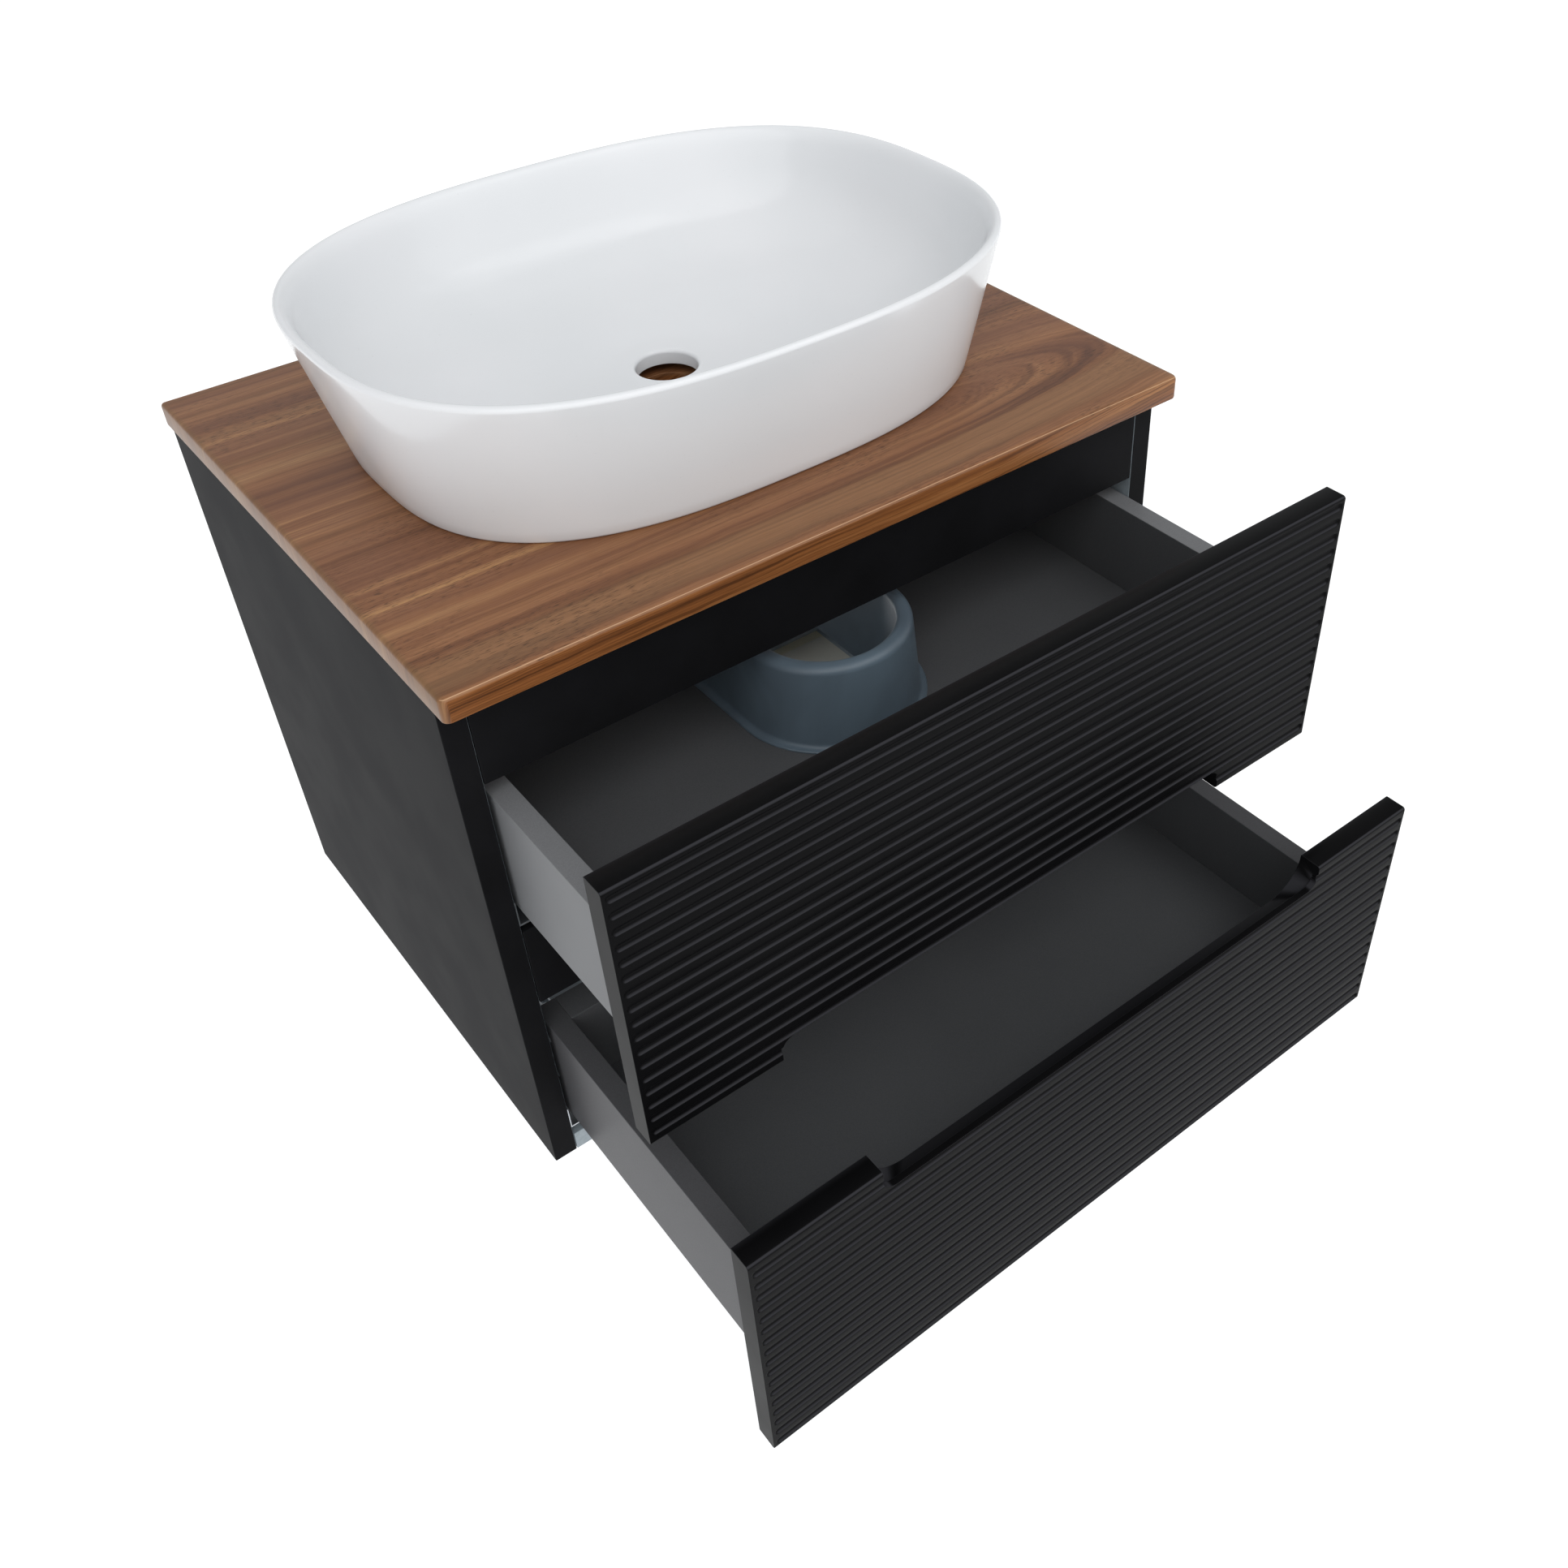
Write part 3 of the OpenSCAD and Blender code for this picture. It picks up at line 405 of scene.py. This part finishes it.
def silicone():
    look = Look("white_silicone", Specular_IOR_Level=0.5, Subsurface_Weight=0.2)
    tooled = look.noise(70.0, 3.0, 0.6)
    look.set(Base_Color=look.ramp(tooled, (0.3, "#d6d7d4"), (0.7, "#e6e7e4")),
             Roughness=look.between(tooled, 0.3, 0.7, 0.28, 0.4))
    look.bump((tooled, 0.1 * MM))
    return look.material


def clear_rubber():
    look = Look("soft_buffer", Specular_IOR_Level=0.5, Subsurface_Weight=0.1)
    cloud = look.noise(300.0, 2.0, 0.5)
    look.set(Base_Color=look.ramp(cloud, (0.3, "#c9cbc9"), (0.7, "#dcdedb")),
             Roughness=look.between(cloud, 0.3, 0.7, 0.3, 0.42))
    look.bump((cloud, 0.02 * MM))
    return look.material


def label_paper():
    """Cream label stock, blank, with a paler printed field and fibres."""
    low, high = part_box("paper_label")
    look = Look("label_paper", Specular_IOR_Level=0.25)
    x, y = look.split(look.place)[:2]
    fibres = look.noise(520.0, 4.0, 0.7)
    inset = look.math("MINIMUM", look.math("SUBTRACT", x, low.x),
                      look.math("SUBTRACT", high.y, y))
    field = look.between(inset, 11 * MM, 11.6 * MM)
    cream = look.ramp(fibres, (0.3, "#c9c5ae"), (0.7, "#d6d2bc"))
    look.set(Base_Color=look.mix(look.math("MULTIPLY", field, 0.6), cream, "#cfd0cd"),
             Roughness=look.between(fibres, 0.3, 0.7, 0.5, 0.65))
    look.bump((fibres, 0.03 * MM))
    return look.material


def pale_floor():
    look = Look("pale_floor", Specular_IOR_Level=0.1, Roughness=0.85, Emission_Color=(1, 1, 1, 1),
                Emission_Strength=0.2)
    soft = look.noise(0.8, 2.0, 0.5)
    look.set(Base_Color=look.ramp(soft, (0.3, "#f8f8f8"), (0.7, "#fbfbfb")))
    return look.material


# ---- mesh building ---------------------------------------------------------

def make_piece(name, points, faces):
    """A mesh object from points in the frame, with its faces turned outwards."""
    mesh = bpy.data.meshes.new(name)
    mesh.from_pydata([tuple(p) for p in points], [], faces)
    mesh.validate()
    tidy = bmesh.new()
    tidy.from_mesh(mesh)
    bmesh.ops.recalc_face_normals(tidy, faces=tidy.faces)
    tidy.to_mesh(mesh)
    tidy.free()
    piece = bpy.data.objects.new(name, mesh)
    bpy.context.scene.collection.objects.link(piece)
    return piece


def shade(piece, angle):
    """Smooth shading, sharp where faces meet at more than an angle in degrees."""
    piece.data.polygons.foreach_set("use_smooth", [True] * len(piece.data.polygons))
    piece.data.set_sharp_from_angle(angle=math.radians(angle))


def loft(name, rings, closed=True, caps=False):
    """A skin over rings of the same number of points; closed joins the last ring to the first."""
    count = len(rings[0])
    points = [p for ring in rings for p in ring]
    spans = len(rings) if closed else len(rings) - 1
    faces = []
    for j in range(spans):
        a, b = j * count, (j + 1) % len(rings) * count
        for i in range(count):
            k = (i + 1) % count
            faces.append((a + i, a + k, b + k, b + i))
    if caps:
        faces.append(tuple(range(count)))
        faces.append(tuple(range((len(rings) - 1) * count, len(rings) * count)))
    return make_piece(name, points, faces)


def arc(centre, radius, start, end, steps):
    """Points of an arc in a plane, from one angle to another in degrees."""
    angles = [math.radians(start + (end - start) * i / steps) for i in range(steps + 1)]
    return [(centre[0] + radius * math.cos(t), centre[1] + radius * math.sin(t)) for t in angles]


def finish_piece(piece, material, body, node):
    """Gives a new piece its material, body and slot, and hides the CAD node that it stands for."""
    piece.data.materials.clear()
    piece.data.materials.append(material)
    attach(piece, body)
    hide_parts(node)


# ---- basin -----------------------------------------------------------------

def make_basin(material):
    """Superellipse outlines that flare towards a rounded rim, and a smooth bowl with a drain.

    Where the leaning wall runs into the rim's rounding, the outline swells a little; crown
    draws it in by that much, so that the basin stays inside its CAD box.
    """
    low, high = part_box("basin")
    centre = (low + high) / 2
    height = high.z - low.z
    wall, floor, bowl_power = 8.4 * MM, 18.5 * MM, 3.4
    rim, crown = wall / 2, 0.13 * MM
    flare_a, flare_b, foot_n = 26.4 * MM, 28.9 * MM, 2.76
    rim_a = (high.x - low.x) / 2 + flare_a * rim / height - crown
    rim_b = (high.y - low.y) / 2 + flare_b * rim / height - crown
    rim_n = 2.59
    drain, lip, recess = 23 * MM, 3 * MM, 7 * MM
    inner_drop, foot_round = 12 * MM, 2.5 * MM
    foot = ((9, 0.4), (8.6, 0), (2, 0), (1.1, 0.3), (0.4, 1.1))  # inset and height in mm
    wall_steps, rim_steps, bowl_steps, lip_steps = 14, 20, 44, 6
    count = 240
    angles = [2 * math.pi * i / count for i in range(count)]

    def reach(angle, inset, z):
        """Distance from the middle to the outline at a height, drawn in by a distance."""
        rise = z / height
        a = rim_a - flare_a * (1 - rise) - inset
        b = rim_b - flare_b * (1 - rise) - inset
        n = foot_n + (rim_n - foot_n) * rise
        return (abs(math.cos(angle) / a) ** n + abs(math.sin(angle) / b) ** n) ** (-1 / n)

    def ring(radii, heights):
        return [(centre.x + r * math.cos(t), centre.y + r * math.sin(t), low.z + z)
                for t, r, z in zip(angles, radii, heights)]

    def outline(inset, z):
        return ring([reach(t, inset, z) for t in angles], [z] * count)

    def circle(radius, z):
        return ring([radius] * count, [z] * count)

    rings = [outline(11 * MM, recess)]
    rings += [outline(inset * MM, z * MM) for inset, z in foot]
    rings += [outline(0, foot_round + (height - rim - foot_round) * i / wall_steps)
              for i in range(wall_steps)]
    for i in range(rim_steps + 1):
        t = math.pi * i / rim_steps
        drop = rim if i <= rim_steps / 2 else inner_drop
        rings.append(outline(rim * (1 - math.cos(t)), height - drop * (1 - math.sin(t))))
    depth = height - inner_drop - floor
    for i in range(1, bowl_steps + 1):
        t = math.pi / 2 * i / bowl_steps
        radii, heights = [], []
        for angle in angles:
            least = (drain + lip) / reach(angle, wall, floor)
            share = least + (1 - least) * math.cos(t) ** (2 / bowl_power)
            z = floor + depth * (1 - (1 - share ** bowl_power) ** (1 / bowl_power))
            radii.append(share * reach(angle, wall, z))
            heights.append(z)
        rings.append(ring(radii, heights))
    for i in range(1, lip_steps + 1):
        t = math.pi / 2 * i / lip_steps
        rings.append(circle(drain + lip * (1 - math.sin(t)), floor - lip * (1 - math.cos(t))))
    rings += [circle(drain, recess + 0.5 * MM), circle(drain + 0.5 * MM, recess)]
    piece = loft("vessel_basin", rings)
    shade(piece, 40)
    finish_piece(piece, material, "cabinet", "basin")


# ---- drawer fronts ---------------------------------------------------------

FRONT_GROOVES = 17
FRONT_PITCH = 12.45 * MM
FIRST_GROOVE = 6.75 * MM
COVE_RADIUS = 4 * MM
COVE_DEPTH = 1.6 * MM
COVE_FLOOR = COVE_RADIUS - COVE_DEPTH
RUN_OUT = math.sqrt(COVE_RADIUS ** 2 - COVE_FLOOR ** 2)
GROOVE_STOP = 2.2 * MM
ARRIS_SOFTNESS = 0.2 * MM
LONG_EDGE_RADIUS = 2.5 * MM
HALF_COVE = [v * MM for v in (0.8, 1.6, 2.3, 2.8, 3.05, 3.15, 3.25, 3.37)]
ACROSS_COVE = [-v for v in reversed(HALF_COVE)] + [0.0] + HALF_COVE
ALONG_END = [v * MM for v in (0.0, 0.8, 1.5, 2.1, 2.5, 2.8, 3.05, 3.2, 3.37)]
ALONG_END.append(RUN_OUT + GROOVE_STOP)


def groove_bite(across, beyond):
    """Depth of a ball-ended groove at a distance across it and beyond its straight part."""
    left = COVE_RADIUS ** 2 - across ** 2 - beyond ** 2
    bite = math.sqrt(max(left, 0.0)) - COVE_FLOOR
    if abs(bite) >= ARRIS_SOFTNESS:
        return max(bite, 0.0)
    return (bite + ARRIS_SOFTNESS) ** 2 / (4 * ARRIS_SOFTNESS)


def front_section(thickness, height, beyond):
    """Section of a front as (y, z): back at y = 0, face at -thickness, plain edge at z = 0."""
    r, chamfer = LONG_EDGE_RADIUS, 0.6 * MM
    points = [(-chamfer, 0.0)]
    points += arc((-thickness + r, r), r, 270, 180, 8)
    for i in range(FRONT_GROOVES):
        z = FIRST_GROOVE + i * FRONT_PITCH
        points += [(groove_bite(across, beyond) - thickness, z + across) for across in ACROSS_COVE]
    points += arc((-thickness + r, height - r), r, 180, 90, 8)
    points += [(-chamfer, height), (0.0, height - chamfer), (0.0, chamfer)]
    return points


def grip_ring(y, height, depth, radius, half):
    """Outline of the finger recess at one distance from the back."""
    above = height + 5 * MM
    outline = [(-half, above)]
    outline += arc((-half + radius, height - depth + radius), radius, 180, 270, 14)
    outline += arc((half - radius, height - depth + radius), radius, 270, 360, 14)
    outline.append((half, above))
    return [(x, y, z) for x, z in outline]


def evaluated(piece):
    """The piece's mesh with its modifiers applied."""
    graph = bpy.context.evaluated_depsgraph_get()
    return bpy.data.meshes.new_from_object(piece.evaluated_get(graph))


def front_blank(width, thickness, height):
    """A front with its plain edge at z = 0, its back at y = 0 and the finger recess at its top."""
    straight = width / 2 - GROOVE_STOP - RUN_OUT
    stations = [(-straight - beyond, beyond) for beyond in reversed(ALONG_END)]
    stations += [(straight + beyond, beyond) for beyond in ALONG_END]
    rings = [[(x, y, z) for y, z in front_section(thickness, height, beyond)]
             for x, beyond in stations]
    blank = loft("front_blank", rings, closed=False, caps=True)
    lip = -thickness + 4.8 * MM
    recess = ((-thickness - 2 * MM, 19.5, 10), (lip, 19.5, 10), (lip + 0.05 * MM, 24.5, 16),
              (0.6 * MM, 30.2, 29.5))
    half = 199 * MM
    cutter = loft("grip_cutter", [grip_ring(y, height, depth * MM, radius * MM, half)
                                  for y, depth, radius in recess], closed=False, caps=True)
    cut = blank.modifiers.new("cut", "BOOLEAN")
    cut.operation = "DIFFERENCE"
    cut.solver = "EXACT"
    cut.object = cutter
    bpy.context.view_layer.update()
    mesh = evaluated(blank)
    for scrap in (blank, cutter):
        bpy.data.objects.remove(scrap)
    return mesh


def make_front(name, mesh, node, body, flip, material):
    """A grooved front in a node's place; flip puts the finger recess at the bottom."""
    low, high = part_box(node)
    mesh = mesh.copy()
    if flip:
        mesh.transform(Matrix.Diagonal((1, 1, -1, 1)))
        mesh.flip_normals()
        mesh.transform(Matrix.Translation((0, high.y, high.z)))
    else:
        mesh.transform(Matrix.Translation((0, high.y, low.z)))
    piece = bpy.data.objects.new(name, mesh)
    bpy.context.scene.collection.objects.link(piece)
    shade(piece, 50)
    round_edges(piece, 0.3 * MM, 2, 60)
    finish_piece(piece, material, body, node)


# ---- softened CAD pieces ---------------------------------------------------

def round_edges(piece, width, segments, angle):
    """Rounds the edges that turn by more than an angle in degrees."""
    bevel = piece.modifiers.new("round_edges", "BEVEL")
    bevel.width = width
    bevel.segments = segments
    bevel.limit_method = "ANGLE"
    bevel.angle_limit = math.radians(angle)
    bevel.use_clamp_overlap = False
    bevel.loop_slide = False
    bevel.harden_normals = True
    bevel.miter_outer = "MITER_ARC"


def soften(node, width, segments):
    """Welds a CAD node's mesh, joins its flat facets and rounds its edges."""
    piece = NODES[node]
    mesh = piece.data
    for name in ("custom_normal", "sharp_edge"):
        attribute = mesh.attributes.get(name)
        if attribute:
            mesh.attributes.remove(attribute)
    mesh.polygons.foreach_set("use_smooth", [True] * len(mesh.polygons))
    weld = piece.modifiers.new("weld", "WELD")
    weld.merge_threshold = 0.01 * MM
    join = piece.modifiers.new("join_flats", "DECIMATE")
    join.decimate_type = "DISSOLVE"
    join.angle_limit = math.radians(0.6)
    round_edges(piece, width, segments, 38)


def dress(nodes, material, width, segments=2):
    """Gives CAD nodes a material and rounded edges."""
    for node in nodes:
        mesh = NODES[node].data
        mesh.materials.clear()
        mesh.materials.append(material)
        soften(node, width, segments)


def both(pattern):
    return [pattern.format(side) for side in ("left", "right")]


# ---- light and floor -------------------------------------------------------

def make_light():
    """Soft light all round, from above and from the front, and a softbox at the front right."""
    scene = bpy.context.scene
    world = bpy.data.worlds.new("studio")
    world.use_nodes = True
    background = world.node_tree.nodes["Background"]
    background.inputs["Color"].default_value = (0.97, 0.985, 1.0, 1.0)
    background.inputs["Strength"].default_value = 0.66
    scene.world = world
    scene.view_settings.view_transform = "Standard"

    for name, energy, heading, height in (("overhead", 0.3, -55, 68), ("front", 1.65, -8, 20)):
        sun = bpy.data.lights.new(name, "SUN")
        sun.energy = energy
        sun.angle = math.radians(100)
        lamp = bpy.data.objects.new(name, sun)
        lamp.rotation_euler = (math.radians(90 - height), 0, math.radians(heading))
        scene.collection.objects.link(lamp)

    place, aim = Vector((1.0, -1.31, 1.95)), Vector((0, -0.35, 0))
    area = bpy.data.lights.new("softbox", "AREA")
    area.shape = "RECTANGLE"
    area.size, area.size_y = 1.2, 1.0
    area.energy = 2.2
    lamp = bpy.data.objects.new("softbox", area)
    lamp.location = place
    lamp.rotation_euler = (aim - place).to_track_quat("-Z", "Y").to_euler()
    scene.collection.objects.link(lamp)


def make_floor():
    """A wide pale floor, well below the hanging cabinet."""
    half = 60.0
    drop = 1.4
    corners = ((-half, -half), (half, -half), (half, half), (-half, half))
    mesh = bpy.data.meshes.new("floor")
    mesh.from_pydata([(x, y, -drop) for x, y in corners], [], [(0, 1, 2, 3)])
    mesh.materials.append(pale_floor())
    floor = bpy.data.objects.new("floor", mesh)
    bpy.context.scene.collection.objects.link(floor)


# ---- the object ------------------------------------------------------------

def dress_cabinet():
    """The basin, the worktop, the carcass and everything that is fixed to it, and the runners."""
    inner_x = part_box("side_panel_right")[0].x
    dress(["worktop"], walnut(), 0.25 * MM)
    dress(both("side_panel_{}"), black_foil("black_foil_grey_inside", inner_x), 0.7 * MM)
    dress(["top_front_rail", "middle_front_rail"], black_foil("black_foil"), 0.6 * MM)
    dress(["bottom_panel", "rear_top_rail", "rear_bottom_rail"], grey_melamine(), 0.6 * MM)
    nylon = moulded_plastic("white_nylon", "#cfd0cc", "#dcdcd8", 0.42)
    zinc = plated_steel("zinc_plate", "#c2c6ca", 0.34)
    dress(["hanger_housings", "upper_runner_rollers", "lower_runner_rollers"], nylon, 0.3 * MM)
    dress(["hanger_hooks", "wall_plates", "worktop_brackets"], zinc, 0.25 * MM)
    dress(["hanger_screws", "bracket_screws", "runner_screws", "cam_bolts",
           "upper_box_screws", "lower_box_screws"], zinc, 0.2 * MM)
    dress(["cam_locks"], plated_steel("die_cast_zinc", "#9c9d9f", 0.45), 0.3 * MM)
    dress(["dowels"], beech(), 0.5 * MM)
    dress(["paper_label"], label_paper(), 0.05 * MM)
    dress(["basin_sealant"], silicone(), 0.8 * MM, 3)
    members = ["upper_cabinet_runner_{}", "lower_cabinet_runner_{}", "upper_middle_runner_{}",
               "lower_middle_runner_{}", "upper_drawer_runner_{}", "lower_drawer_runner_{}"]
    dress([node for pattern in members for node in both(pattern)], zinc, 0.2 * MM)
    make_basin(glazed_ceramic())


def dress_drawers():
    """Grooved fronts, graphite boxes, the trap insert and the small plastic parts."""
    lacquer = black_lacquer()
    low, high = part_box("upper_front")
    face_gap = 0.02 * MM
    blank = front_blank(high.x - low.x, high.y - low.y - face_gap, high.z - low.z)
    make_front("grooved_upper_front", blank, "upper_front", "upper_drawer", True, lacquer)
    make_front("grooved_lower_front", blank, "lower_front", "lower_drawer", False, lacquer)
    bpy.data.meshes.remove(blank)
    inner_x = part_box("upper_side_right")[0].x
    # Lit and shaded copies of one board: painted light makes the upper drawer's outer faces paler,
    # and painted shade makes the lower drawer's outer faces darker.
    for drawer, backs, outer_low, outer_high in (
            ("upper", both("upper_back_{}"), "#707173", "#7d7e80"),
            ("lower", ["lower_back"], "#48484a", "#525254")):
        graphite = graphite_melamine("graphite_melamine_" + drawer, inner_x, outer_low,
                                     outer_high)
        dress(both(drawer + "_side_{}") + backs + [drawer + "_bottom"], graphite, 0.6 * MM)
    dress(["trap_insert"], moulded_plastic("blue_grey_plastic", "#5a6772", "#667682", 0.36),
          0.2 * MM)
    dress(["upper_front_clips", "lower_front_clips"],
          moulded_plastic("dark_grey_plastic", "#4c4e50", "#595b5d", 0.45), 0.4 * MM)
    buffers, squeeze = ["upper_buffers", "lower_buffers"], 0.05 * MM
    dress(buffers, clear_rubber(), 0.4 * MM)
    for node in buffers:
        squash = NODES[node].modifiers.new("squash", "DISPLACE")
        squash.mid_level = 0
        squash.strength = -squeeze


make_camera()
make_light()
make_floor()
dress_cabinet()
dress_drawers()
